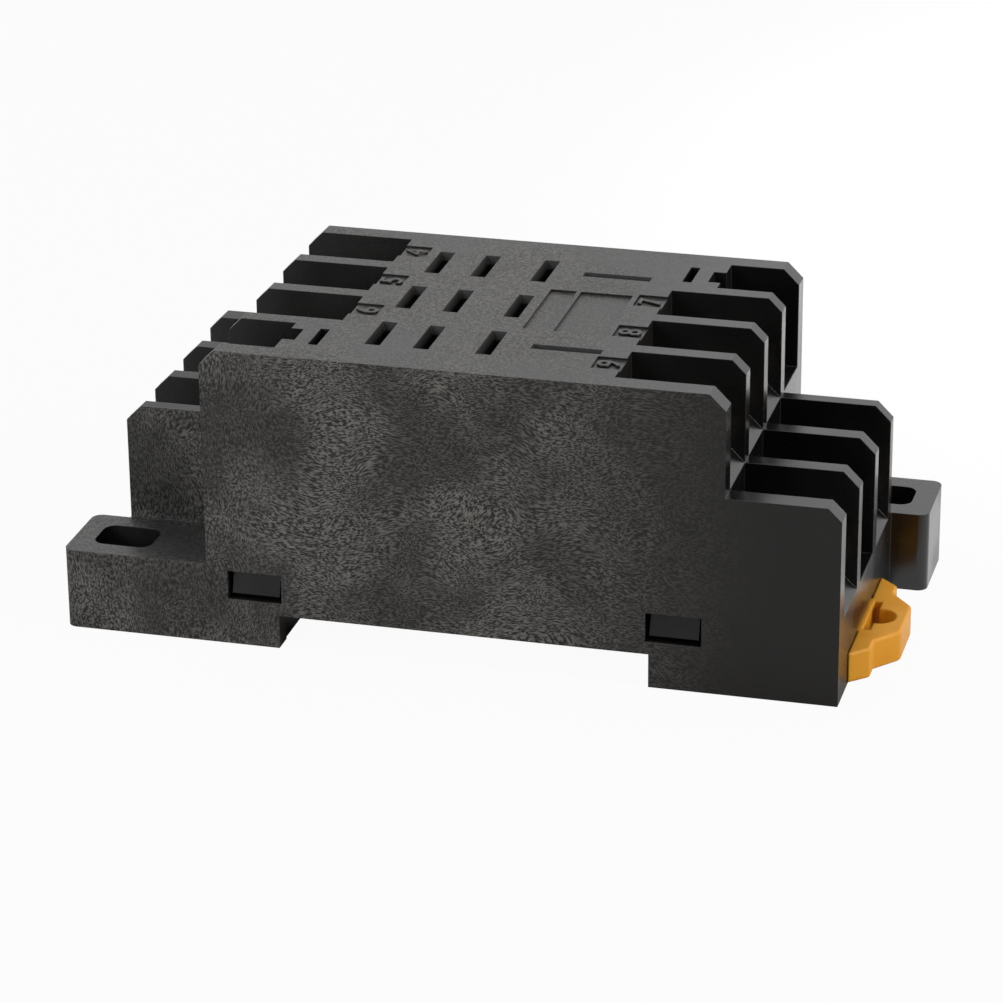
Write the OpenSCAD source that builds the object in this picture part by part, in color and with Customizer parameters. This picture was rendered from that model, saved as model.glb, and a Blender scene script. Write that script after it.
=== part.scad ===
// Relay socket for DIN rail: a black moulded housing with eleven screw
// terminals on two tiers, blade contacts under slots in the deck, a cover that
// snaps in from below and a sprung yellow rail clip.
// +X runs along the socket to the clip's end, +Z is up. The origin lies midway
// along the rail channel, at the level of the feet. One end is drawn and turned
// half round about Z to make the other, which differs only where the clip is:
// there a blank bay takes the place of one terminal.

/* [DIN rail] */
// Width of the rail that the socket snaps on
rail_w = 35; // [32:0.5:36]
// Gap between the rail's edge and each side of the channel
rail_gap = 0.2; // [0.1:0.05:0.4]
// Height of the rail seat above the feet
rail_h = 3.3; // [3:0.1:4]
// Thickness of the rail's edge
rail_t = 1; // [0.8:0.1:1.2]
// Reach of the hooks under the rail's edge
hook_reach = 1.3; // [0.8:0.1:1.6]

/* [Tiers] */
// Height of the deck
top_h = 29.3; // [28.5:0.1:34]
// Height of the lower terminal tier
step_h = 19.4; // [18:0.1:20]
// Height of the ears and of the sill at each end
ear_h = 7.9; // [7.5:0.1:9]
// Length of the closed deck between the upper bays
deck_l = 28; // [27.5:0.1:30]
// Chamfer at the ends of the upper tier's long sides
end_chamfer = 1.5; // [0.5:0.05:2]
// Chamfer at the ends of the upper tier's inner walls
wall_chamfer = 1.3; // [0.5:0.05:2]
// Chamfer at the end of the lower tier's long side
side_chamfer = 1.25; // [0.5:0.05:2]
// Chamfer at the ends of the lower tier's inner walls
step_chamfer = 1.5; // [0.5:0.05:2]

/* [Terminal bays] */
// Width of a bay
bay_w = 6.65; // [6.5:0.05:7.5]
// Length of a bay
bay_l = 10.65; // [10.3:0.05:12]
// Wall between two bays
bay_wall = 1.7; // [1.2:0.05:2]
// Long side walls of the housing
side_wall = 2.15; // [1.8:0.05:3]
// Outer wall of the lower tier
step_wall = 1.4; // [1:0.05:1.6]
// Fall of the slope at the outer edge of a bay's floor
nose = 1.6; // [1:0.05:2]
// Length of the bays that take a relay's hold-down spring
clip_bay_l = 6.65; // [5:0.05:8]

/* [Shell] */
// Thickness of the end walls, floors and deck
wall = 1.6; // [1.2:0.05:1.8]
// Fit of the cover in the housing, on each side
cover_fit = 0.1; // [0.05:0.05:0.3]
// Thickness of the cover
cover_t = 1.5; // [1.2:0.1:1.5]
// Ribs of the cover and of the contact chambers
rib = 1.1; // [0.8:0.1:1.4]

/* [Ears] */
// Reach of an ear beyond the lower tier
ear_l = 3.6; // [3:0.05:6]
// Width of an ear
ear_w = 8.8; // [8:0.1:9]
// Radius of an ear's corners
ear_r = 1; // [0.5:0.1:2]
// Width of the screw slot
ear_slot_w = 4.5; // [3.6:0.1:4.6]
// End-to-end length of the screw slot
ear_slot_l = 5.7; // [4.6:0.1:6]
// Radius of the screw slot's corners
ear_slot_r = 1.2; // [0.5:0.1:1.7]
// Material left outside the screw slot
ear_edge = 2.1; // [1.8:0.1:3]

/* [Relay contacts] */
// Pitch of the contact rows, one row for each pole
row_pitch = 10; // [9.8:0.05:10.1]
// Break contacts, distance from the middle towards -X
nc_x = 9.53; // [9.5:0.01:9.8]
// Make contacts, distance from the middle towards -X
no_x = 4.93; // [4.8:0.01:5.1]
// Common contacts, distance from the middle towards +X
com_x = 0.98; // [0.8:0.01:1.2]
// Coil contacts, distance from the middle towards +X
coil_x = 8.1; // [8:0.01:8.3]
// Length of a contact slot's mouth
slot_l = 6.1; // [5.8:0.05:6.3]
// Width of a contact slot's mouth
slot_w = 1.5; // [1.3:0.05:1.7]
// Length of a coil slot's mouth
coil_slot_l = 6.6; // [5.9:0.05:6.6]
// Width of a coil slot's mouth
coil_slot_w = 1.15; // [1:0.05:1.4]
// Lead-in round every slot
lead_in = 0.25; // [0.15:0.05:0.4]
// Depth of the lead-in
lead_depth = 0.8; // [0.4:0.1:1.2]
// Room between a contact spring's tips and the deck
spring_gap = 0.85; // [0.5:0.05:1.2]

/* [Terminals] */
// Thickness of the terminal plates
plate_t = 0.9; // [0.7:0.05:1]
// Gap at each edge of a terminal plate
plate_gap = 0.3; // [0.2:0.05:0.4]
// Diameter of the terminal screws
screw_d = 3.5; // [3:0.1:3.6]
// Length of the terminal screws
screw_l = 8; // [7:0.5:8]
// Diameter of a screw's head
head_d = 5.9; // [5.5:0.1:6]
// Height of a screw's head
head_h = 2.3; // [1.8:0.1:2.6]
// Distance of a screw from the inner end of its bay
screw_in = 4.6; // [4.3:0.1:5]
// Thickness of the clamp plates
clamp_t = 0.8; // [0.6:0.05:1]
// Running clearance of a screw in its tapped hole, on the radius
thread_gap = 0.05; // [0.02:0.01:0.1]

/* [Rail clip] */
// Thickness of the clip
clip_t = 3; // [2.6:0.05:3]
// Height of the clip above the feet's plane
clip_lift = 0.1; // [0.05:0.05:0.2]
// Width over the clip's shoulders, to their sharp corners
clip_w = 18; // [16:0.1:18.4]
// Depth of the clip's shoulders
shoulder_l = 1.75; // [1.5:0.05:2]
// Reach of the pull tab beyond the end wall
clip_out = 3.9; // [3.6:0.1:5]
// Width of the clip's neck
neck_w = 7.6; // [7:0.1:8]
// Bar left between the clip's slot and the wall
clip_bar = 0.3; // [0.2:0.05:0.6]
// Travel of the clip
clip_travel = 2.5; // [2:0.1:2.8]
// Running gap round the neck
neck_gap = 0.3; // [0.2:0.05:0.3]

/* [Cover latches] */
// Distance of a latch window from the middle of the socket
latch_x = 20; // [20:0.1:22]
// Width of a latch window
latch_w = 5.25; // [4:0.05:5.25]
// Height of a latch window's sill
latch_z = 4.55; // [4.5:0.05:5]
// Height of a latch window
latch_h = 2.85; // [2.5:0.05:3.2]
// Gap round the cover's lug in its window
latch_gap = 0.3; // [0.1:0.05:0.5]

/* [Deck panels] */
// Depth of the recessed panels
panel_d = 0.25; // [0.1:0.05:0.4]
// Length of a number panel beside a bay
panel_l = 2.7; // [2:0.1:2.8]
// Width of a number panel
panel_w = 3; // [2:0.1:4]
// Distance of the mid-deck panels from the middle towards +X
mid_panel_x = 2.8; // [2.7:0.05:2.85]
// Length of the short mid-deck panel
mid_panel_short = 2.5; // [2:0.1:2.5]
// Length of the long mid-deck panel
mid_panel_long = 5; // [4:0.1:5]
// Bar between the mid-deck panels
mid_panel_bar = 0.45; // [0.3:0.05:0.5]

/* [Hidden] */
$fn = 64;
eps = 0.01;
big = 100;

bay_pitch = bay_w + bay_wall;
half_w = 2*bay_w + 1.5*bay_wall + side_wall;  // middle to a long side
in_y = half_w - side_wall;                    // inner face of a long side
deck_x = deck_l/2;                            // inner end of the upper bays
up_x = deck_x + bay_l;                        // end of the upper tier
low_x = up_x + bay_l;                         // end of the lower tier
ear_x = low_x + ear_l;
step_y = bay_y(2) + bay_w/2 + step_wall;      // outer wall of the lower tier
up_floor = step_h + nose;
low_floor = ear_h + nose;
clip_bay_x = up_x - clip_bay_l;
chan_x = rail_w/2 + rail_gap;                 // side of the rail channel
deck_under = top_h - 1.1*wall;
up_end = up_x - wall;                         // cavity below the upper bays
low_end = low_x - wall;                       // cavity below the lower bays
in_x = deck_x - wall;                         // cavity below the deck

plate_w = bay_w - 2*plate_gap;
clamp_w = bay_w - 2*0.9*plate_gap;
tap_d = screw_d + 2*thread_gap;
collar_d = tap_d + 1.1;
well_d = collar_d + 0.3;
well_tube = well_d + 1.2*wall;
well_h = screw_l - plate_t - clamp_t + 0.3;   // clear of the screw's tip
runner_w = 2.1;                               // strips from plate to contact
contact_l = 0.85*slot_l;                      // width of a contact spring
contact_b = 3;                                // base of a contact spring
leaf_t = 0.4;
contact_h = deck_under - up_floor - plate_t - spring_gap;

blank_bay = 1;                                // above the rail clip
clip_y = bay_y(blank_bay);
clip_top = clip_lift + clip_t;
clip_x = low_x + 0.05;                        // shoulders rest on the end wall
hook_top = rail_h - rail_t - 0.15;
pocket_top = clip_top + neck_gap;             // room for the neck
pocket_y = neck_w/2 + neck_gap;
ledge_w = 1.1;                                // ledges that carry the neck
ledge_z = clip_lift + 0.35*clip_t;
post_x = chan_x + 10.2;                       // post for the spring arms
arm_tip = post_x - 0.9 - clip_travel - 0.4;
cover_x = low_end - cover_fit;
cover_y = in_y - cover_fit;
cover_top = rail_h + cover_t;

// Terminal table: number, end turned by, bay, tier, contact kind.
LOW = 0; HIGH = 1;
NC = 0; NO = 1; COM = 2; COIL = 3;
TERMINALS = [
    [1, 180, 0, LOW, NC],  [2, 180, 1, LOW, NC],  [3, 180, 2, LOW, NC],
    [4, 180, 0, HIGH, NO], [5, 180, 1, HIGH, NO], [6, 180, 2, HIGH, NO],
    [7, 0, 2, HIGH, COM],  [8, 0, 1, HIGH, COM],  [9, 0, 0, HIGH, COM],
    [10, 0, 2, LOW, COIL], [11, 0, 0, LOW, COIL]
];
NUMBERS = [for (t = TERMINALS) t[0]];

// Middle of bay i, counted from -Y at the clip's end.
function bay_y(i) = (i - 1.5)*bay_pitch;
// Contact row that serves bay i.
function row_y(i) = (i - 1)*row_pitch;
// Distance of a contact of one kind from the middle, towards its own end.
function contact_x(kind) =
    kind == NC ? nc_x : kind == NO ? no_x : kind == COM ? com_x : coil_x;
function tier_floor(tier) = tier == HIGH ? up_floor : low_floor;
function bay_start(tier) = tier == HIGH ? deck_x : up_x;
function screw_x(tier) = bay_start(tier) + screw_in;

// ---------------------------------------------------------------- helpers

// A block from its low corner to its high corner.
module block(low, high) { translate(low) cube(high - low); }

// An X-Z outline carried along Y from y0 to y1.
module along_y(y0, y1) {
    translate([0, y1, 0]) rotate([90, 0, 0]) linear_extrude(y1 - y0) children();
}

// A Y-Z outline carried along X from x0 to x1.
module along_x(x0, x1) {
    translate([x0, 0, 0]) rotate([90, 0, 90]) linear_extrude(x1 - x0) children();
}

module both_ends() { children(); rotate(180) children(); }

// A rectangle with rounded corners, from true arcs.
module round_rect(l, w, r) {
    square([l - 2*r, w], center = true);
    square([l, w - 2*r], center = true);
    for (x = [-1, 1], y = [-1, 1]) translate([x*(l/2 - r), y*(w/2 - r)]) circle(r);
}

// Points of a polygon whose corners are rounded, each by its own radius.
function rounded(points, radii, steps = 5) = [
    for (i = [0:len(points) - 1])
        let (
            n = len(points),
            p = points[i],
            a = points[(i + n - 1) % n] - p,
            b = points[(i + 1) % n] - p,
            ua = a/norm(a),
            ub = b/norm(b),
            half = acos(ua*ub)/2,
            centre = p + (ua + ub)/norm(ua + ub)*radii[i]/sin(half),
            start = p + ua*radii[i]/tan(half) - centre,
            end = p + ub*radii[i]/tan(half) - centre,
            sweep = 180 - 2*half
        )
        for (k = [0:steps])
            centre + (sin(sweep*(1 - k/steps))*start + sin(sweep*k/steps)*end)/sin(sweep)
];

// ---------------------------------------------------------------- housing

// A terminal bay: open at the top and outer end, with a sloping edge.
module bay_cut(start, floor_z) {
    far = start + bay_l;
    polygon([
        [start, floor_z], [far - nose, floor_z], [far, floor_z - nose],
        [far + 5, floor_z - nose], [far + 5, big], [start, big]
    ]);
}

// The blank bay has no terminal, only a plain deep floor.
module bays(blank) {
    for (i = [0:2]) translate([0, bay_y(i), 0]) {
        along_y(-bay_w/2, bay_w/2) bay_cut(deck_x, up_floor);
        if (i == blank) block([up_x, -bay_w/2, ear_h], [big, bay_w/2, big]);
        else along_y(-bay_w/2, bay_w/2) bay_cut(up_x, low_floor);
    }
    block([clip_bay_x, bay_y(3) - bay_w/2, step_h], [big, bay_y(3) + bay_w/2, big]);
}

// Where the relay's hold-down spring hooks in, beside its bay.
module spring_slots() {
    translate([0, bay_y(3), 0]) {
        block([clip_bay_x - 1.2, -1.9, step_h], [clip_bay_x + eps, 1, big]);
        block([clip_bay_x - 3.6, -2.4, deck_under - 1], [clip_bay_x - 2.7, 1.8, big]);
    }
}

// Slot for a relay blade: a funnel on a straight throat.
module blade_slot(l, w) {
    throat_l = l - 2*lead_in;
    throat_w = w - 2*lead_in;
    block([-throat_w/2, -throat_l/2, deck_under - 1], [throat_w/2, throat_l/2, big]);
    intersection() {
        along_y(-l, l) funnel(w);
        along_x(-l, l) funnel(l);
    }
}

module funnel(mouth) {
    polygon([
        [-mouth/2 + lead_in, top_h - lead_depth], [mouth/2 - lead_in, top_h - lead_depth],
        [mouth/2, top_h], [mouth/2, top_h + 1], [-mouth/2, top_h + 1], [-mouth/2, top_h]
    ]);
}

module blade_slots() {
    for (i = [0:2], x = [-nc_x, -no_x, com_x])
        translate([x, row_y(i), 0]) blade_slot(slot_l, slot_w);
    for (i = [0, 2])
        translate([coil_x, row_y(i), 0]) rotate(90) blade_slot(coil_slot_l, coil_slot_w);
}

// Recessed panels: one beside each upper terminal, two wide ones mid-deck.
module panels() {
    both_ends() for (i = [0:2])
        block([deck_x - panel_l, bay_y(i) - panel_w/2, top_h - panel_d],
              [deck_x + eps, bay_y(i) + panel_w/2, big]);
    translate([mid_panel_x, 0, top_h - panel_d]) for (p = [
        [0, mid_panel_short],
        [mid_panel_short + mid_panel_bar, mid_panel_short + mid_panel_bar + mid_panel_long]
    ]) block([p[0], -0.57*row_pitch, 0], [p[1], 0.52*row_pitch, big]);
}

// Cavities that the cover closes from below.
module cavities() {
    clip_edge = bay_y(2) + bay_w/2;
    // Under the deck, and beside the hold-down spring's bay
    block([-in_x, -in_y, -1], [in_x, in_y, deck_under]);
    both_ends() {
        block([0, bay_y(3) - bay_w/2, -1], [clip_bay_x - 2.4, in_y, deck_under]);
        // Under the upper bays
        block([0, -in_y, -1], [up_end, in_y, step_h - wall]);
        block([0, -in_y, -1], [up_end, clip_edge, up_floor - wall]);
        // Under the lower bays and the sill
        block([0, -in_y, -1], [low_end, in_y, ear_h - wall]);
    }
}

// Tubes round the lower ends of the terminal screws.
module well(tier) {
    floor_z = tier_floor(tier);
    translate([0, 0, floor_z - well_h - wall/2])
        cylinder(d = well_tube, h = well_h + wall/2 - eps);
}

module well_bore(tier) {
    translate([0, 0, tier_floor(tier) - well_h]) cylinder(d = well_d, h = well_h + eps);
}

module at_terminals() {
    for (t = TERMINALS) rotate(t[1]) translate([screw_x(t[3]), bay_y(t[2]), 0]) {
        $tier = t[3];
        children();
    }
}

// Openings through which the terminal plates slide into their bays.
module plate_slots() {
    for (t = TERMINALS) rotate(t[1]) translate([0, bay_y(t[2]), tier_floor(t[3])])
        block([bay_start(t[3]) - wall - eps, -plate_w/2 - 0.1, 0],
              [bay_start(t[3]) + eps, plate_w/2 + 0.1, plate_t + 0.05]);
}

// Walls between the contact chambers, hanging from the deck.
module chamber_walls() {
    z0 = up_floor + plate_t + 0.3;
    for (y = [row_y(0.5), row_y(1.5)])
        block([-in_x - eps, y - rib/2, z0], [in_x + eps, y + rib/2, deck_under + eps]);
    for (x = [-(nc_x + no_x)/2, (com_x - no_x)/2, (com_x + coil_x)/2 - 0.6])
        block([x - rib/2, -in_y - eps, z0], [x + rib/2, in_y + eps, deck_under + eps]);
}

module ear() {
    y0 = half_w - ear_w;
    translate([0, y0, 0]) linear_extrude(ear_h) {
        square([ear_x - ear_r, ear_w]);
        translate([0, ear_r]) square([ear_x, ear_w - 2*ear_r]);
        for (y = [ear_r, ear_w - ear_r]) translate([ear_x - ear_r, y]) circle(ear_r);
    }
}

module ear_slot() {
    translate([ear_x - ear_edge - ear_slot_l/2, half_w - ear_w/2, -1])
        linear_extrude(ear_h + 2) round_rect(ear_slot_l, ear_slot_w, ear_slot_r);
}

// Solid round the ear's slot, below the sill.
module ear_core() {
    block([ear_x - ear_edge - ear_slot_l - wall, half_w - ear_w, 0],
          [low_end + eps, in_y + eps, ear_h - wall + eps]);
}

module rail_channel() {
    block([-chan_x, -big, -1], [chan_x, big, rail_h]);
}

module latch_windows() {
    for (sx = [-1, 1])
        block([sx*latch_x - latch_w/2, -big, latch_z], [sx*latch_x + latch_w/2, big, latch_z + latch_h]);
}

// Outline of one end of a tier, with its upper corner chamfered.
module tier_outline(end, top, chamfer) {
    polygon([[0, 0], [end, 0], [end, top - chamfer], [end - chamfer, top], [0, top]]);
}

module housing() color("#2b2c2e") difference() {
    union() {
        difference() {
            union() {
                both_ends() {
                    along_y(-half_w, -in_y) tier_outline(up_x, top_h, end_chamfer);
                    along_y(-in_y, in_y) tier_outline(up_x, top_h, wall_chamfer);
                    along_y(in_y, half_w) tier_outline(up_x, top_h, end_chamfer);
                    along_y(-half_w, -in_y) tier_outline(low_x, step_h, side_chamfer);
                    along_y(-in_y, step_y) tier_outline(low_x, step_h, step_chamfer);
                    block([0, 0, 0], [low_x, half_w, ear_h]);
                    ear();
                }
            }
            cavities();
        }
        at_terminals() well($tier);
        chamber_walls();
        both_ends() ear_core();
    }
    both_ends() { spring_slots(); ear_slot(); }
    bays(blank_bay);
    rotate(180) bays(-1);
    at_terminals() well_bore($tier);
    plate_slots();
    blade_slots();
    panels();
    rail_channel();
    latch_windows();
    // Way through the end wall for the clip's neck
    block([low_end - eps, clip_y - pocket_y, -1], [big, clip_y + pocket_y, pocket_top]);
}

// ------------------------------------------------------------- base cover

// Hook that reaches under the rail's edge, with a lead-in below.
module rail_hook_outline() {
    polygon([
        [-eps, 0.2], [-eps, hook_top], [hook_reach, hook_top],
        [hook_reach, hook_top - 0.7], [hook_reach - hook_top + 0.9, 0.2]
    ]);
}

// Snap arm with its lug, standing on the cover beside the -Y wall.
module latch() {
    w = latch_w - 2*latch_gap;
    sill = latch_z + latch_gap + 0.15;
    top = latch_z + latch_h - 0.1;
    out = cover_fit + side_wall;
    translate([0, -cover_y, 0]) {
        block([-w/2, 0, rail_h], [w/2, 1.3*rib, top]);
        along_x(-w/2, w/2) polygon([
            [eps, sill], [0.45 - out, sill],
            [1.1 - out, top], [eps, top]
        ]);
    }
}

// Open cells of one foot, below the cover's plate.
module foot_ribs() {
    z0 = 0.2;
    block([chan_x, -cover_y, z0], [chan_x + 1.3*rib, cover_y, rail_h + eps]);
    block([cover_x - rib, -cover_y, z0], [cover_x, cover_y, rail_h + eps]);
    for (s = [-1, 1])
        translate([0, s*(cover_y - rib/2), 0])
            block([chan_x, -rib/2, z0], [cover_x, rib/2, rail_h + eps]);
}

// Guide for the clip's neck: side walls with ledges below its flanges.
module clip_guide() {
    for (s = [0, 1]) translate([0, clip_y, 0]) mirror([0, s, 0]) {
        block([chan_x, pocket_y, 0.2], [cover_x, pocket_y + rib, rail_h + eps]);
        block([chan_x + 2.5, pocket_y - ledge_w, 0.2],
              [cover_x - 1.5, pocket_y + eps, ledge_z]);
    }
}

// Post that the clip's spring arms bear on.
module spring_post() {
    translate([post_x, clip_y, 0.4])
        linear_extrude(cover_top - 0.4 - eps) square([1.8, 2.6], center = true);
}

module cover_body() difference() {
    union() {
        block([-cover_x, -cover_y, rail_h], [cover_x, cover_y, cover_top]);
        both_ends() {
            foot_ribs();
            for (s = [0, 1]) mirror([0, s, 0]) translate([latch_x, 0, 0]) latch();
        }
        // Cross ribs in the plain foot
        for (y = [-row_pitch, 0, row_pitch])
            block([-cover_x, y - rib/2, 0.2], [-chan_x, y + rib/2, rail_h + eps]);
        // Fixed hooks for the rail's edge
        for (y = [-0.65, 0.65]) translate([-chan_x, y*row_pitch, 0])
            along_y(-2.5, 2.5) rail_hook_outline();
        // Stiffening ribs and supports below the contacts
        for (y = [row_y(0.5), row_y(1.5)])
            block([-in_x + 1, y - rib/2, cover_top - eps], [in_x - 1, y + rib/2, low_floor - 1]);
        for (i = [0:2]) {
            for (x = [-no_x, com_x]) translate([x, row_y(i), 0])
                block([-1.1, -1.9, cover_top - eps], [1.1, 1.9, up_floor]);
            translate([-nc_x, row_y(i), 0])
                block([-1.1, -1.9, cover_top - eps], [1.1, 1.9, low_floor]);
        }
        for (i = [0, 2]) translate([coil_x, row_y(i), 0])
            block([-1.9, -1.1, cover_top - eps], [1.9, 1.1, low_floor]);
    }
    both_ends() block([ear_x - ear_edge - ear_slot_l - wall - cover_fit,
                       half_w - ear_w - cover_fit, -1], [big, big, big]);
}

module base_cover() color("#242527") difference() {
    union() {
        difference() {
            cover_body();
            // Room for the clip
            block([chan_x - eps, clip_y - pocket_y, -1], [big, clip_y + pocket_y, pocket_top]);
        }
        clip_guide();
        spring_post();
    }
    // Holes round the lower screw wells
    for (t = TERMINALS) if (t[3] == LOW) rotate(t[1])
        translate([screw_x(LOW), bay_y(t[2]), -1]) cylinder(d = well_tube + 0.4, h = big);
}

// --------------------------------------------------------------- rail clip

// Shoulders and pull tab.
module clip_head_outline() {
    s = clip_w/2;
    reach = low_x + clip_out - clip_x;
    half = [[reach, 0.165*clip_w], [shoulder_l, 0.305*clip_w], [shoulder_l, s - shoulder_l], [0, s]];
    radii = [1.1, 0.4, 0.5, 0.2];
    polygon(rounded(
        concat(half, [for (k = [3:-1:0]) [half[k][0], -half[k][1]]]),
        concat(radii, [for (k = [3:-1:0]) radii[k]])
    ));
}

// Screwdriver window: a cross slot that opens into a round one.
module driver_window() {
    translate([clip_bar, -3.2]) square([0.7, 6.4]);
    intersection() {
        translate([1.2, 0]) circle(1.65);
        translate([clip_bar, -3]) square(6);
    }
}

// Neck with its sprung middle: two arms that bear on the cover's post.
module neck_outline() {
    inner = chan_x + 3.2 - clip_x;
    difference() {
        translate([chan_x + 0.6 - clip_x, -neck_w/2]) square([clip_x - chan_x - 0.6 + eps, neck_w]);
        translate([inner, -neck_w/2 + 1.6]) square([clip_x - chan_x - 5.2, neck_w - 3.2]);
    }
    // Arms converge towards the post.
    for (s = [-1, 1]) scale([1, s]) polygon([
        [inner - eps, 2.1], [inner - eps, 1.2], [arm_tip - clip_x, 0.35],
        [arm_tip - clip_x, 1.2]
    ]);
}

module rail_clip() color("#d99a28") translate([clip_x, clip_y, clip_lift]) difference() {
    union() {
        difference() {
            linear_extrude(clip_t) clip_head_outline();
            translate([0, 0, -1]) linear_extrude(clip_t + 2) driver_window();
        }
        difference() {
            linear_extrude(clip_t) neck_outline();
            // Flanges that run over the guide's ledges
            for (s = [0, 1]) mirror([0, s, 0])
                block([-big, pocket_y - ledge_w - neck_gap, -1],
                      [-0.3, neck_w, ledge_z - clip_lift + 0.1]);
        }
        along_y(-neck_w/2 + 1.3, neck_w/2 - 1.3) translate([chan_x + 0.7 - clip_x, -clip_lift])
            polygon([
                [0, clip_lift], [0, hook_top], [-hook_reach - 0.7, hook_top],
                [-hook_reach - 0.7, hook_top - 0.7], [-hook_reach + hook_top - 1.6, clip_lift]
            ]);
    }
}

// --------------------------------------------------------------- terminals

// Flat strip shared by both kinds: plate in the bay, runner, foot.
module plate_outline(tier, i) {
    start = bay_start(tier);
    out = start + bay_l - nose - 0.05;
    back = start - wall - 0.4;
    translate([0, bay_y(i)]) difference() {
        translate([back, -plate_w/2]) square([out - back, plate_w]);
        for (s = [-1, 1]) translate([out, s*plate_w/2]) rotate(45) square(0.9, center = true);
    }
}

// Upper terminals run at one level from the bay to a foot under the contact.
module high_strip(i, x) {
    lane = row_y(i) - 4.2;
    translate([x - contact_b/2, lane - runner_w/2]) {
        square([in_x - x + contact_b/2, runner_w]);
        square([contact_b, row_y(i) + contact_l/2 - lane + runner_w/2]);
    }
}

// Lower terminals run below the upper floor, then rise to the contact.
module low_strip(i, x) {
    lane = (bay_y(i) + row_y(i))/2;
    low = min(lane - runner_w/2, row_y(i) - 2.4);
    high = max(lane + runner_w/2, row_y(i) + 2.4);
    translate([x, lane - runner_w/2]) square([up_end - x, runner_w]);
    translate([x - contact_b/2, low]) square([contact_b, high - low]);
}

module riser(x, y, turn) {
    translate([x, y, 0]) rotate(turn) {
        block([-plate_t/2, -2.3, low_floor + eps], [plate_t/2, 2.3, up_floor + eps]);
        block([-contact_b/2, -2.3, up_floor], [contact_b/2, 2.3, up_floor + plate_t]);
    }
}

module terminal(t) {
    i = t[2];
    tier = t[3];
    x = contact_x(t[4]);
    floor_z = tier_floor(tier);
    color("#c9b98a") rotate(t[1]) difference() {
        union() {
            translate([0, 0, floor_z]) linear_extrude(plate_t) {
                plate_outline(tier, i);
                if (tier == HIGH) high_strip(i, x); else low_strip(i, x);
            }
            // Collar drawn down round the tapped hole
            translate([screw_x(tier), bay_y(i), floor_z - 1.2])
                cylinder(d = collar_d, h = 1.2 + eps);
            if (tier == LOW) riser(x, row_y(i), t[4] == COIL ? 90 : 0);
        }
        translate([screw_x(tier), bay_y(i), floor_z - 2]) cylinder(d = tap_d, h = 4);
    }
}

// Female contact: two leaves that pinch the relay's blade.
module leaf_outline() {
    polygon([
        [0, 0], [contact_b/2, 0], [contact_b/2, 0.1*contact_h], [0.62, 0.71*contact_h],
        [1.05, 0.97*contact_h], [0.75, contact_h], [0.2, 0.71*contact_h],
        [contact_b/2 - 0.45, leaf_t], [0, leaf_t]
    ]);
}

module contact(t) {
    x = contact_x(t[4]);
    color("#b8944f") rotate(t[1])
        translate([x, row_y(t[2]), up_floor + plate_t]) rotate(t[4] == COIL ? 90 : 0)
        difference() {
            for (s = [0, 1]) mirror([s, 0, 0]) along_y(-contact_l/2, contact_l/2) leaf_outline();
            block([-contact_b, -0.3, 0.17*contact_h], [contact_b, 0.3, 2*contact_h]);
        }
}

module clamp(t) {
    color("#d8d3c6") rotate(t[1])
        translate([screw_x(t[3]), bay_y(t[2]), tier_floor(t[3]) + plate_t]) difference() {
            translate([-clamp_w/2, -clamp_w/2, 0]) cube([clamp_w, clamp_w, clamp_t]);
            translate([0, 0, -1]) cylinder(d = screw_d + 0.2, h = clamp_t + 2);
        }
}

module screw(t) {
    r = head_d/2; edge = 0.5;
    color("#dcd9d2") rotate(t[1])
        translate([screw_x(t[3]), bay_y(t[2]), tier_floor(t[3]) + plate_t + clamp_t])
        difference() {
            rotate_extrude() {
                polygon([
                    [0, -screw_l], [screw_d/2 - 0.5, -screw_l], [screw_d/2, -screw_l + 0.7],
                    [screw_d/2, 0], [r, 0], [r, head_h - edge], [r - edge, head_h - edge],
                    [r - edge, head_h], [0, head_h]
                ]);
                translate([r - edge, head_h - edge]) intersection() {
                    circle(edge);
                    square(edge);
                }
            }
            // Combined slot and cross recess
            block([-r - 1, -0.45, head_h - 1.1], [r + 1, 0.45, head_h + 1]);
            block([-0.45, -1.7, head_h - 1.5], [0.45, 1.7, head_h + 1]);
        }
}

// ------------------------------------------------------------------- parts

housing();
base_cover();
rail_clip();
for (t = TERMINALS) {
    terminal(t);
    contact(t);
    clamp(t);
    screw(t);
}
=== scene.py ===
# %% [markdown]
# # Dressing a track-mounted relay socket
# The shapes of this socket are finished before Blender opens: a black moulded
# housing, its cover, a sprung rail clip and eleven screw terminals. This lesson
# adds what the shapes alone can't give: the finishes, the raised numerals and
# the light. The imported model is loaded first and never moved, so every
# position below comes from it.

# %% Load the fixed frame
import math
import bmesh
import bpy
from mathutils import Matrix, Vector


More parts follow.
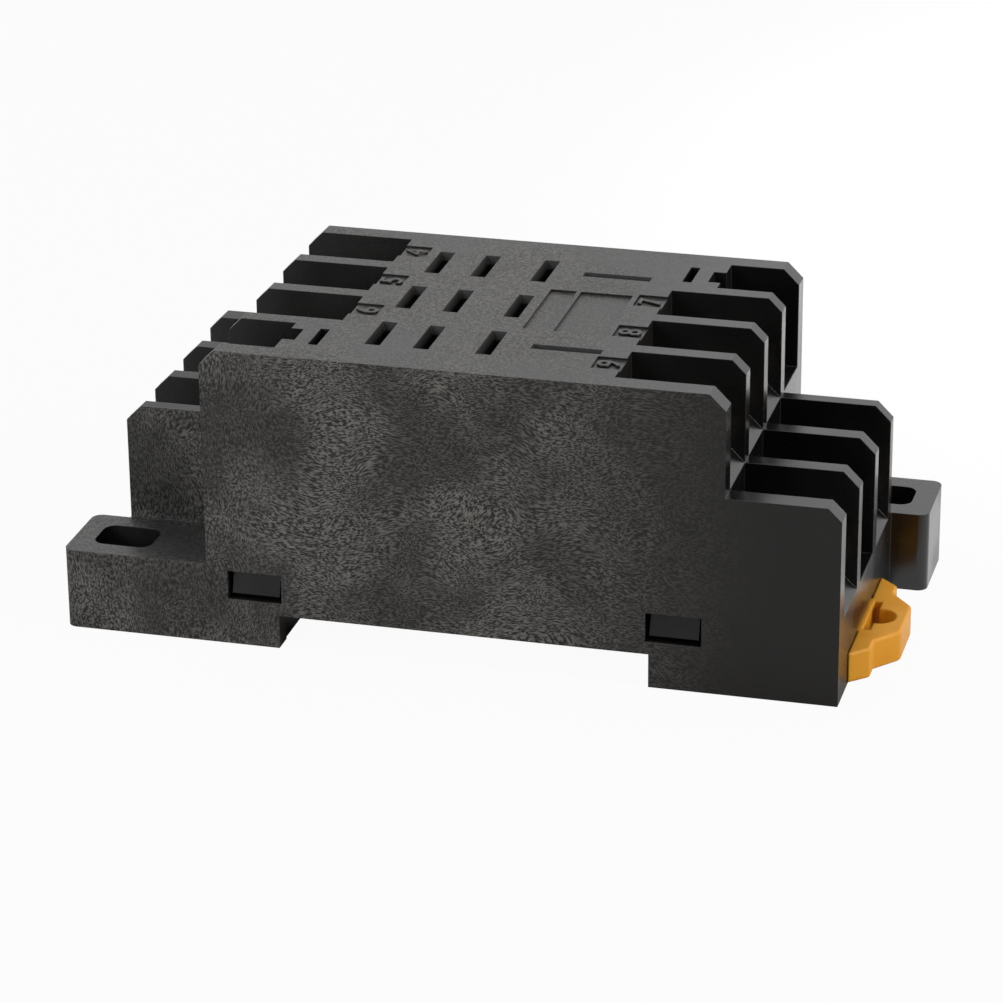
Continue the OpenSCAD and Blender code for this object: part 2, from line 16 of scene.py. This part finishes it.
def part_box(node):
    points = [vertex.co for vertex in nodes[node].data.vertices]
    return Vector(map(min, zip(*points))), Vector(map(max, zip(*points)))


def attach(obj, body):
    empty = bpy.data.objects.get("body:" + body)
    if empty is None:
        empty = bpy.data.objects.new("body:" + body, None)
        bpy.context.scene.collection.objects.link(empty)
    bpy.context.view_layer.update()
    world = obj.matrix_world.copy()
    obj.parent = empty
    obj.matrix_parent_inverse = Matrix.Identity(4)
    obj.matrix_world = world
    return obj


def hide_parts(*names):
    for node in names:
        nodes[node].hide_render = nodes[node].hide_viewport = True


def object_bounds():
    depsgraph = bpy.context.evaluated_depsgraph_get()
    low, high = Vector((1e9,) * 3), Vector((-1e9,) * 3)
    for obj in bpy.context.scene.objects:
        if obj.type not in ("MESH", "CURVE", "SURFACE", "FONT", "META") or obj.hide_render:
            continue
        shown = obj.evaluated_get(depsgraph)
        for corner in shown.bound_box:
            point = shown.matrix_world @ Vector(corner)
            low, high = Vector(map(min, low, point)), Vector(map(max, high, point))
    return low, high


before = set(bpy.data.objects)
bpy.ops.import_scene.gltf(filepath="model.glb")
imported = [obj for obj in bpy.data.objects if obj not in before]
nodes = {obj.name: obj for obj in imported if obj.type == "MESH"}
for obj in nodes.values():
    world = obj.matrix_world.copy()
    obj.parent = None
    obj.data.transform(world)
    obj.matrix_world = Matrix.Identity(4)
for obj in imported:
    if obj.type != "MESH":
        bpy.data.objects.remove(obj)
cad_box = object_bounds()
MM = 0.001
print(len(nodes), "nodes; box in mm:", [[round(v / MM, 2) for v in c] for c in cad_box])

# %% [markdown]
# The view settings decide how a colour written in a material reaches the eye.
# Standard shows it as it is, so black plastic stays black plastic. Filmic
# transforms would lift it to grey.

# %% View settings
scene = bpy.context.scene
scene.view_settings.view_transform = "Standard"

# %% [markdown]
# A small product is best shown with a long lens from a little above, turned
# so that the long side and one end both show. The camera is placed by its
# azimuth and elevation round a target near the middle of the block, which is
# easier to reason about than a bare position. A long lens at a long distance
# keeps the sides nearly parallel, as a catalogue shows them.

# %% Camera
AZIMUTH, ELEVATION, ROLL = 15.06, 22.94, -0.53
DISTANCE = 389.8 * MM
TARGET = Vector((-1.42, 2.0, 8.33)) * MM
camera = bpy.data.objects.new("camera", bpy.data.cameras.new("camera"))
bpy.context.collection.objects.link(camera)
az, el = math.radians(AZIMUTH), math.radians(ELEVATION)
back = Vector((math.sin(az) * math.cos(el), -math.cos(az) * math.cos(el), math.sin(el)))
right = Vector((math.cos(az), math.sin(az), 0))
turn = Matrix((right, back.cross(right), back)).transposed()
camera.matrix_world = (
    Matrix.Translation(TARGET + back * DISTANCE)
    @ (turn @ Matrix.Rotation(math.radians(ROLL), 3, "Z")).to_4x4()
)
camera.data.sensor_width = 36
camera.data.lens = 145.15
camera.data.clip_start = 0.02
scene.camera = camera
print("camera at", [round(v, 4) for v in camera.location])

# %% [markdown]
# Two helpers serve every material. Designers write colours as sRGB hex codes,
# but shaders work on linear light, so one function converts. The other adds a
# shader node, sets its values and makes its links in a single call, which
# keeps a node tree readable from top to bottom.

# %% Colour and node helpers
def srgb(code):
    """A hex code as linear red, green, blue and alpha."""
    def linear(v):
        return v / 12.92 if v <= 0.04045 else ((v + 0.055) / 1.055) ** 2.4
    return tuple(linear(int(code[i:i + 2], 16) / 255) for i in (1, 3, 5)) + (1,)


def add(tree, kind, values=None, links=None, **settings):
    """Adds one node. values and links are keyed by input name or number."""
    node = tree.nodes.new("ShaderNode" + kind)
    for name, value in settings.items():
        setattr(node, name, value)
    for key, value in (values or {}).items():
        node.inputs[key].default_value = value
    for key, socket in (links or {}).items():
        tree.links.new(socket, node.inputs[key])
    return node


def new_material(name):
    """An empty material with only its output node."""
    material = bpy.data.materials.new(name)
    material.use_nodes = True
    tree = material.node_tree
    tree.nodes.clear()
    return material, tree, add(tree, "OutputMaterial")


def ramp(tree, factor, low, high, start=0.0, end=1.0):
    """A smooth ramp: factor from low to high gives start to end."""
    return add(tree, "MapRange", {"From Min": low, "From Max": high, "To Min": start, "To Max": end},
               {"Value": factor}, interpolation_type="SMOOTHSTEP").outputs["Result"]


def mix_colour(tree, factor, a, b):
    """Mixes two colours, given as hex codes or as sockets."""
    node = add(tree, "Mix", data_type="RGBA")
    for key, value in ((6, a), (7, b)):
        if isinstance(value, str):
            node.inputs[key].default_value = srgb(value)
        else:
            tree.links.new(value, node.inputs[key])
    if isinstance(factor, float):
        node.inputs[0].default_value = factor
    else:
        tree.links.new(factor, node.inputs[0])
    return node.outputs[2]


def maths(tree, operation, a, b=0.0):
    """One Math node; a and b are numbers or sockets."""
    node = add(tree, "Math", operation=operation)
    for key, value in ((0, a), (1, b)):
        if isinstance(value, (int, float)):
            node.inputs[key].default_value = value
        else:
            tree.links.new(value, node.inputs[key])
    return node.outputs[0]


print("black plastic in linear light:", [round(v, 4) for v in srgb("#0d0d0e")[:3]])

# %% [markdown]
# The housing is PBT with short glass fibres, injection moulded in black. The
# melt carries the fibres along, and where it cools first they freeze at the
# skin as pale flecks about 0.4 mm long and 0.13 mm wide. Near the gate, at the
# clip's end, the hot melt hides them and the skin copies the polished mould.
# On the walls inside the bays and slots the flecks are mostly left out as well,
# which paints those walls darker as shade in the recesses. Stretched noise makes
# flecks that lie one way, a slow warp bends them as the flow did, and masks
# over X, Y and Z keep them to the outer skin, leaving painted shade inside, and
# fade them towards the gate.

# %% Fibre flecks
# Where the outer skin lies, in mm. The block is the same turned half round, so
# one ear's corner and the middle of its screw slot stand for both.
HALF_WIDTH, DECK_Z = cad_box[1][1] / MM, cad_box[1][2] / MM
END_X = 35.3
EAR_X, EAR_Y = 24.7, 8.85
SLOT_X, SLOT_Y, SLOT_REACH = 34.1, 13.6, 3.2


def skin_outside_painted_shade(tree, x, y, z, flat):
    """A mask: 1 on the housing's outer skin, 0 inside its bays and slots, where leaving out the flecks paints
    shade.
    """
    far_x = maths(tree, "ABSOLUTE", x)
    beside = maths(tree, "MULTIPLY", maths(tree, "SIGN", x), y)
    long_side = ramp(tree, maths(tree, "ABSOLUTE", y), (HALF_WIDTH - 0.3) * MM, (HALF_WIDTH - 0.1) * MM)
    deck = maths(tree, "MULTIPLY", flat, ramp(tree, z, (DECK_Z - 0.4) * MM, (DECK_Z - 0.2) * MM))
    end = ramp(tree, far_x, (END_X - 0.2) * MM, (END_X - 0.05) * MM)
    corner = maths(tree, "MULTIPLY", ramp(tree, beside, (EAR_Y - 0.25) * MM, EAR_Y * MM),
                   ramp(tree, far_x, (EAR_X - 0.2) * MM, EAR_X * MM))
    # An ear's screw slot is smooth and fleck-free inside, which paints it darker as shade, up to SLOT_REACH
    # from its middle
    plan = add(tree, "CombineXYZ", {}, {"X": far_x, "Y": beside}).outputs[0]
    away = add(tree, "VectorMath", {1: (SLOT_X * MM, SLOT_Y * MM, 0)}, {0: plan},
               operation="DISTANCE").outputs["Value"]
    beyond = ramp(tree, away, SLOT_REACH * MM, (SLOT_REACH + 0.1) * MM)
    ends = maths(tree, "MULTIPLY", maths(tree, "MAXIMUM", end, corner), maths(tree, "MAXIMUM", beyond, flat))
    return maths(tree, "MAXIMUM", maths(tree, "MAXIMUM", long_side, deck), ends)


def flecks(tree, place, size):
    """Noise stretched to flecks: size is the fleck in mm along X, Y and Z."""
    scaled = add(tree, "Mapping", {"Scale": [1 / (s * MM) for s in size]}, {"Vector": place})
    return add(tree, "TexNoise", {"Scale": 1.0, "Detail": 2.0, "Roughness": 0.55},
               {"Vector": scaled.outputs[0]}).outputs[0]


def warped(tree, where):
    """Object coordinates with a slow bend: about 1.2 mm to and fro over 7 mm."""
    drift = add(tree, "TexNoise", {"Scale": 1 / (7 * MM), "Detail": 1.0}, {"Vector": where})
    centred = add(tree, "VectorMath", {1: (-0.5,) * 3}, {0: drift.outputs["Color"]}, operation="ADD")
    moved = add(tree, "VectorMath", {1: (5.0 * MM,) * 3}, {0: centred.outputs[0]}, operation="MULTIPLY")
    return add(tree, "VectorMath", {}, {0: where, 1: moved.outputs[0]}, operation="ADD").outputs[0]


def flow_grain(tree, where, across, flat):
    """Flecks that stand at the end far from the gate and lie along the rest of the sides."""
    bent = warped(tree, where)
    lying = ramp(tree, flecks(tree, bent, (0.42, 0.13, 0.13)), 0.2, 0.8, 0.24, 0.76)
    upright = ramp(tree, flecks(tree, bent, (0.16, 0.16, 0.35)), 0.2, 0.8, 0.3, 0.7)
    lie = ramp(tree, across, -22 * MM, -14 * MM)
    sides = add(tree, "Mix", {}, {0: lie, 2: upright, 3: lying}, data_type="FLOAT").outputs[0]
    # Faces that look up or down lay against the mould's flat ends, so theirs are even
    even = flecks(tree, where, (0.2, 0.2, 0.2))
    return add(tree, "Mix", {}, {0: flat, 2: sides, 3: even}, data_type="FLOAT").outputs[0]


def glass_filled(name, tint, fleck_tint, gloss_from, gloss_to):
    """Black glass-filled PBT. The flecks fade between the X values given in mm."""
    material, tree, output = new_material(name)
    where = add(tree, "TexCoord").outputs["Object"]
    axes = add(tree, "SeparateXYZ", {}, {"Vector": where})
    x, y, z = (axes.outputs[axis] for axis in "XYZ")
    facing = add(tree, "SeparateXYZ", {}, {"Vector": add(tree, "NewGeometry").outputs["True Normal"]})
    flat = ramp(tree, maths(tree, "ABSOLUTE", facing.outputs["Z"]), 0.6, 0.9)
    patches = add(tree, "TexNoise", {"Scale": 1 / (9 * MM), "Detail": 2.0}, {"Vector": where}).outputs[0]
    across = maths(tree, "ADD", x, maths(tree, "MULTIPLY", maths(tree, "SUBTRACT", patches, 0.5), 16 * MM))
    fade = ramp(tree, across, gloss_from * MM, gloss_to * MM, 1.0, 0.0)
    kept = maths(tree, "MULTIPLY", fade, ramp(tree, patches, 0.35, 0.6, 0.4, 1.0))
    skin = skin_outside_painted_shade(tree, x, y, z, flat)
    # Inside the bays and slots only a twentieth of the pale flecks is kept, which paints those walls darker as
    # shade
    shown = maths(tree, "MULTIPLY", kept, ramp(tree, skin, 0.0, 1.0, 0.05, 1.0))
    strength = maths(tree, "MULTIPLY", shown, ramp(tree, flat, 0.0, 1.0, 1.0, 0.5))
    grain = flow_grain(tree, where, across, flat)
    fleck = maths(tree, "MULTIPLY", ramp(tree, grain, 0.36, 0.7), strength)
    # Fine satin of the tool's surface, 0.08 mm across, too fine to see singly
    satin = add(tree, "TexNoise", {"Scale": 1 / (0.08 * MM), "Detail": 2.0}, {"Vector": where}).outputs[0]
    height = maths(tree, "ADD", maths(tree, "MULTIPLY", fleck, 0.7), maths(tree, "MULTIPLY", satin, 0.3))
    edge = add(tree, "Bevel", {"Radius": 0.1 * MM}, samples=4)
    bumped = add(tree, "Bump", {"Strength": 0.3, "Distance": 0.02 * MM},
                 {"Height": height, "Normal": edge.outputs[0]})
    colour = mix_colour(tree, fleck, tint, fleck_tint)
    worn = maths(tree, "ADD", maths(tree, "MULTIPLY", satin, 0.06), ramp(tree, patches, 0.3, 0.7, 0.0, 0.12))
    roughness = maths(tree, "ADD", ramp(tree, fade, 0.0, 1.0, 0.17, 0.38), worn)
    shader = add(tree, "BsdfPrincipled", {"IOR": 1.57, "Specular IOR Level": 0.5},
                 {"Base Color": colour, "Roughness": roughness, "Normal": bumped.outputs[0]})
    tree.links.new(shader.outputs[0], output.inputs[0])
    return material


housing_black = glass_filled("pbt_glass_filled_moulded_black", "#0d0d0e", "#83817e", 2, 30)
cover_black = glass_filled("pbt_glass_filled_cover_black", "#0d0d0e", "#504e4b", -60, -50)
print("made", housing_black.name, "and", cover_black.name)

# %% [markdown]
# The rail clip is acetal (POM), coloured orange-yellow through and through.
# Acetal lets light a little way in, so thin edges glow lighter and warmer than
# the faces, and its skin is waxy rather than glossy. Subsurface scattering
# with a radius of about a millimetre gives the glow.

# %% Clip material
def acetal(name):
    material, tree, output = new_material(name)
    where = add(tree, "TexCoord").outputs["Object"]
    cloud = add(tree, "TexNoise", {"Scale": 1 / (4 * MM), "Detail": 2.0}, {"Vector": where}).outputs[0]
    skin = add(tree, "TexNoise", {"Scale": 1 / (0.12 * MM), "Detail": 2.0}, {"Vector": where}).outputs[0]
    colour = mix_colour(tree, ramp(tree, cloud, 0.3, 0.7), "#de9814", "#e5a226")
    edge = add(tree, "Bevel", {"Radius": 0.25 * MM}, samples=4)
    bumped = add(tree, "Bump", {"Strength": 0.12, "Distance": 0.02 * MM},
                 {"Height": skin, "Normal": edge.outputs[0]})
    shader = add(tree, "BsdfPrincipled", {
        "IOR": 1.48, "Subsurface Weight": 0.2, "Subsurface Radius": (1.0, 0.4, 0.08),
        "Subsurface Scale": 1.2 * MM,
    }, {"Base Color": colour, "Roughness": ramp(tree, skin, 0.2, 0.8, 0.38, 0.5), "Normal": bumped.outputs[0]})
    tree.links.new(shader.outputs[0], output.inputs[0])
    return material


clip_yellow = acetal("acetal_moulded_orange_yellow")
print("made", clip_yellow.name)

# %% [markdown]
# Four metals sit in the bays. The terminals are tinned brass strip, stamped
# and bent, the contacts bare phosphor bronze, and the clamp plates and screws
# nickel-plated steel. Rolled strip keeps faint lines along its length, and a
# pressed or headed part has a finer, tumbled surface with small dull patches.

# %% Metals
def plated(name, tint, dull_tint, low, high, grain=(0.03, 0.6, 0.6)):
    """A metal. Its roughness goes from low to high where it is dull.

    grain is the size in mm of its surface marks along X, Y and Z.
    """
    material, tree, output = new_material(name)
    where = add(tree, "TexCoord").outputs["Object"]
    lines = add(tree, "TexNoise", {"Scale": 1.0, "Detail": 3.0}, {
        "Vector": add(tree, "Mapping", {"Scale": [1 / (s * MM) for s in grain]}, {"Vector": where}).outputs[0]
    }).outputs[0]
    patches = add(tree, "TexNoise", {"Scale": 1 / (1.5 * MM), "Detail": 4.0}, {"Vector": where}).outputs[0]
    dull = ramp(tree, patches, 0.35, 0.7)
    edge = add(tree, "Bevel", {"Radius": 0.06 * MM}, samples=4)
    bumped = add(tree, "Bump", {"Strength": 0.15, "Distance": 0.01 * MM},
                 {"Height": lines, "Normal": edge.outputs[0]})
    streaks = maths(tree, "MULTIPLY", lines, 0.08)
    shader = add(tree, "BsdfPrincipled", {"Metallic": 1.0}, {
        "Base Color": mix_colour(tree, dull, tint, dull_tint),
        "Roughness": maths(tree, "ADD", ramp(tree, dull, 0, 1, low, high), streaks),
        "Normal": bumped.outputs[0],
    })
    tree.links.new(shader.outputs[0], output.inputs[0])
    return material


finishes = {
    "housing": housing_black, "base_cover": cover_black, "rail_clip": clip_yellow,
    "terminal": plated("tinned_brass_strip_stamped", "#cfc7b2", "#b3a98f", 0.28, 0.42),
    "contact": plated("phosphor_bronze_strip_formed", "#c99a63", "#a87c4b", 0.25, 0.4, (0.6, 0.03, 0.6)),
    "clamp": plated("nickel_plated_steel_pressed", "#cfccc4", "#b1ada3", 0.22, 0.38, (0.5, 0.03, 0.5)),
    "screw": plated("nickel_plated_steel_headed", "#d6d4ce", "#b8b5ad", 0.16, 0.3, (0.08, 0.08, 0.08)),
}

# %% Put the finishes on the CAD nodes
def finish_for(node_name):
    return finishes[node_name if node_name in finishes else node_name.split("_")[0]]


for name, obj in nodes.items():
    obj.data.materials.clear()
    obj.data.materials.append(finish_for(name))
print("finished", len(nodes), "nodes in", len(finishes), "materials")

# %% [markdown]
# No moulded edge is perfectly sharp. The clip's tool was cut with edges rounded
# to about 0.25 mm, which catch the light and let it through. The solid has
# sharp ones, so a copy of its mesh is joined up and its flat faces are made
# whole again. Then the outline of its head is bevelled, and the rim of the slot
# for the screwdriver gets a finer bevel. The copy rides with the clip and
# stands for it.

# %% Rounded edges for the clip
clip_low, clip_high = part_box("rail_clip")
clip_y = (clip_low[1] + clip_high[1]) / 2
HEAD_DEPTH = 3.85 * MM
SHOULDER_Y = 8.9 * MM
# The back of the head stands 0.05 mm clear of the housing's end wall
HEAD_BACK = clip_high[0] - HEAD_DEPTH


def joined_copy(name):
    """A CAD node's mesh as a bmesh, with its triangles joined and flat faces whole."""
    shape = bmesh.new()
    shape.from_mesh(nodes[name].data)
    bmesh.ops.remove_doubles(shape, verts=shape.verts, dist=0.001 * MM)
    bmesh.ops.dissolve_limit(shape, angle_limit=math.radians(1), verts=shape.verts, edges=shape.edges)
    return shape


def soften(shape, radius, segments, chosen):
    """Bevels the edges that turn by more than 25 degrees and are chosen."""
    sharp = [e for e in shape.edges if e.is_manifold and e.calc_face_angle() > math.radians(25)
             and all(chosen(v.co) for v in e.verts)
             and any(v.co.x > HEAD_BACK + 0.2 * MM for v in e.verts)]
    bmesh.ops.bevel(shape, geom=sharp, offset=radius, offset_type="OFFSET", affect="EDGES",
                    segments=segments, profile=0.5, material=-1, clamp_overlap=False)
    return len(sharp)


def stand_in(shape, name, piece_name, body):
    """Makes the piece that rides on a body and stands for a CAD node."""
    mesh = bpy.data.meshes.new(piece_name)
    shape.to_mesh(mesh)
    shape.free()
    piece = bpy.data.objects.new(piece_name, mesh)
    bpy.context.collection.objects.link(piece)
    mesh.materials.append(finish_for(name))
    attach(piece, body)
    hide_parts(name)
    return piece


def on_outline(co):
    """Corners of the head's outline: all of its back and sides, and its front edge."""
    return co.x > HEAD_BACK - 0.01 * MM and (abs(co.y - clip_y) > 3.3 * MM or co.x > HEAD_BACK + 3.05 * MM)


def on_slot_rim(co):
    """The head's other corners, which ring the screwdriver's slot."""
    return co.x > HEAD_BACK + 0.2 * MM and not on_outline(co)


clip_shape = joined_copy("rail_clip")
# The shoulders' small corners at the head's back are made sharp, so the bevel runs out there
for side in (-1, 1):
    for z in (clip_low[2], clip_high[2]):
        corner = [v for v in clip_shape.verts
                  if side * (v.co.y - clip_y) > 8.1 * MM and abs(v.co.z - z) < 0.1 * MM]
        bmesh.ops.pointmerge(clip_shape, verts=corner, merge_co=(HEAD_BACK, clip_y + side * SHOULDER_Y, z))
outer = soften(clip_shape, 0.25 * MM, 3, on_outline)
rim = soften(clip_shape, 0.08 * MM, 1, on_slot_rim)
clip_piece = stand_in(clip_shape, "rail_clip", "rail_clip_rounded", "rail_clip")
print(clip_piece.name, outer, "outline edges and", rim, "rim edges,", len(clip_piece.data.polygons), "faces")

# %% [markdown]
# Beside each upper terminal the deck has a shallow recess with the terminal's
# number standing in it, its top level with the deck. The numbers read from the
# clip's end. A text object gives the figure, extruded to the recess's depth,
# and is made a mesh before it is turned and put in place.

# %% Numerals in the deck's recesses
TOP = cad_box[1][2]
PANEL_DEPTH = 0.25 * MM
FIGURE_HEIGHT = 2.2 * MM
# A figure's height as a share of the built-in font's size
FONT_SHARE = 0.72
FIGURE_X = 12.65 * MM
# The figures' tops lie this much under the deck, so no two faces share a plane
SUNK = 0.005 * MM


def numeral(figure, x, y):
    """A raised figure whose foot points to +X, centred at x, y."""
    curve = bpy.data.curves.new("figure_" + figure, "FONT")
    curve.body = figure
    curve.align_x, curve.align_y = "CENTER", "CENTER"
    curve.size = FIGURE_HEIGHT / FONT_SHARE
    curve.extrude = PANEL_DEPTH / 2
    curve.offset = 0.02 * MM
    curve.resolution_u = 6
    holder = bpy.data.objects.new("figure_" + figure, curve)
    bpy.context.collection.objects.link(holder)
    bpy.context.view_layer.update()
    mesh = bpy.data.meshes.new_from_object(holder)
    bpy.data.objects.remove(holder)
    shape = bmesh.new()
    shape.from_mesh(mesh)
    low = [min(v.co[k] for v in shape.verts) for k in range(3)]
    high = [max(v.co[k] for v in shape.verts) for k in range(3)]
    middle = Vector([(a + b) / 2 for a, b in zip(low, high)])
    bmesh.ops.translate(shape, verts=shape.verts, vec=-middle)
    bmesh.ops.rotate(shape, verts=shape.verts, matrix=Matrix.Rotation(math.radians(90), 3, "Z"))
    bmesh.ops.translate(shape, verts=shape.verts, vec=(x, y, TOP - PANEL_DEPTH / 2 - SUNK))
    bmesh.ops.remove_doubles(shape, verts=shape.verts, dist=0.001 * MM)
    bmesh.ops.recalc_face_normals(shape, faces=shape.faces)
    shape.to_mesh(mesh)
    shape.free()
    piece = bpy.data.objects.new("number_" + figure, mesh)
    bpy.context.collection.objects.link(piece)
    mesh.materials.clear()
    mesh.materials.append(housing_black)
    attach(piece, "socket")
    return piece


for figure in "456789":
    screw_low, screw_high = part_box("screw_" + figure)
    bay_y = (screw_low[1] + screw_high[1]) / 2
    side = -1 if screw_low[0] < 0 else 1
    numeral(figure, side * FIGURE_X, bay_y)
print("numerals 4 to 9 stand in the deck's recesses")

# %% [markdown]
# The stage is a plain white floor under soft lamps. Black plastic shows almost
# only what it reflects, so each source is there for the faces that mirror it. A
# wide lamp overhead and a white sweep behind grey the deck. A warm lamp beyond
# the clip's end lights that end and the clip, and one in front fills the long
# side. A narrow one makes a bright patch on the floor behind, which the ends of
# the inner walls pick up. Rays from the camera see the floor and the world as
# plain white, while the floor keeps part of its shadow.

# %% Stage and lamps
def area_lamp(name, place, aim, size, power, tint="#ffffff"):
    data = bpy.data.lights.new(name, "AREA")
    data.shape = "RECTANGLE"
    data.size, data.size_y = size
    data.energy = power
    data.color = srgb(tint)[:3]
    lamp = bpy.data.objects.new(name, data)
    bpy.context.collection.objects.link(lamp)
    lamp.location = place
    lamp.rotation_euler = (Vector(aim) - Vector(place)).to_track_quat("-Z", "Y").to_euler()
    return lamp


area_lamp("overhead_lamp", (-0.1, 0.0, 0.7), (0, 0, 0.02), (0.6, 0.5), 2.0)
area_lamp("end_lamp", (0.6, -0.1, 0.3), (0, 0, 0.02), (0.3, 0.4), 3.0, "#fff6ea")
floor_lamp = area_lamp("back_floor_lamp", (0.12, 0.42, 0.4), (0.08, 0.15, 0.0), (0.08, 0.08), 0.45)
floor_lamp.data.spread = math.radians(20)
area_lamp("front_lamp", (-0.4, -0.6, 0.3), (0, 0, 0.02), (0.4, 0.3), 1.2)

world = bpy.data.worlds.new("studio")
scene.world = world
world.use_nodes = True
tree = world.node_tree
tree.nodes.clear()
seen = add(tree, "LightPath")
# Mirrored rays see a white sweep behind, and a dimmer room in front of it
direction = add(tree, "SeparateXYZ", {}, {"Vector": add(tree, "TexCoord").outputs["Generated"]})
sweep = ramp(tree, direction.outputs["Y"], -0.2, 0.5, 0.25, 1.0)
room = add(tree, "Background", {"Color": srgb("#e9e9e9"), "Strength": 0.2})
mirrored = add(tree, "Background", {"Color": (1, 1, 1, 1)}, {"Strength": sweep})
white = add(tree, "Background", {"Color": (1, 1, 1, 1), "Strength": 1.0})
lit = add(tree, "MixShader", {},
          {0: seen.outputs["Is Glossy Ray"], 1: room.outputs[0], 2: mirrored.outputs[0]})
joined = add(tree, "MixShader", {},
             {0: seen.outputs["Is Camera Ray"], 1: lit.outputs[0], 2: white.outputs[0]})
tree.links.new(joined.outputs[0], add(tree, "OutputWorld").inputs[0])

floor_shape = bmesh.new()
bmesh.ops.create_grid(floor_shape, x_segments=1, y_segments=1, size=3.0)
floor_mesh = bpy.data.meshes.new("floor")
floor_shape.to_mesh(floor_mesh)
floor_shape.free()
floor = bpy.data.objects.new("floor", floor_mesh)
bpy.context.collection.objects.link(floor)
floor.location.z = cad_box[0][2] - 0.02 * MM
paper, tree, output = new_material("paper_floor_white")
seen = add(tree, "LightPath")
diffuse = add(tree, "BsdfDiffuse", {"Color": srgb("#bdbdbd")})
glow = add(tree, "Emission", {"Color": (1, 1, 1, 1), "Strength": 1.0})
depth = add(tree, "SeparateXYZ", {}, {"Vector": add(tree, "TexCoord").outputs["Object"]}).outputs["Y"]
behind = ramp(tree, depth, -14 * MM, 4 * MM, 0.0, 0.8)
mirrored_floor = maths(tree, "MULTIPLY", seen.outputs["Is Glossy Ray"], behind)
share = maths(tree, "MAXIMUM", maths(tree, "MULTIPLY", seen.outputs["Is Camera Ray"], 0.95), mirrored_floor)
joined = add(tree, "MixShader", {}, {0: share, 1: diffuse.outputs[0], 2: glow.outputs[0]})
tree.links.new(joined.outputs[0], output.inputs[0])
floor_mesh.materials.append(paper)
print("floor at", round(floor.location.z / MM, 2), "mm;", len(bpy.data.lights), "lamps")
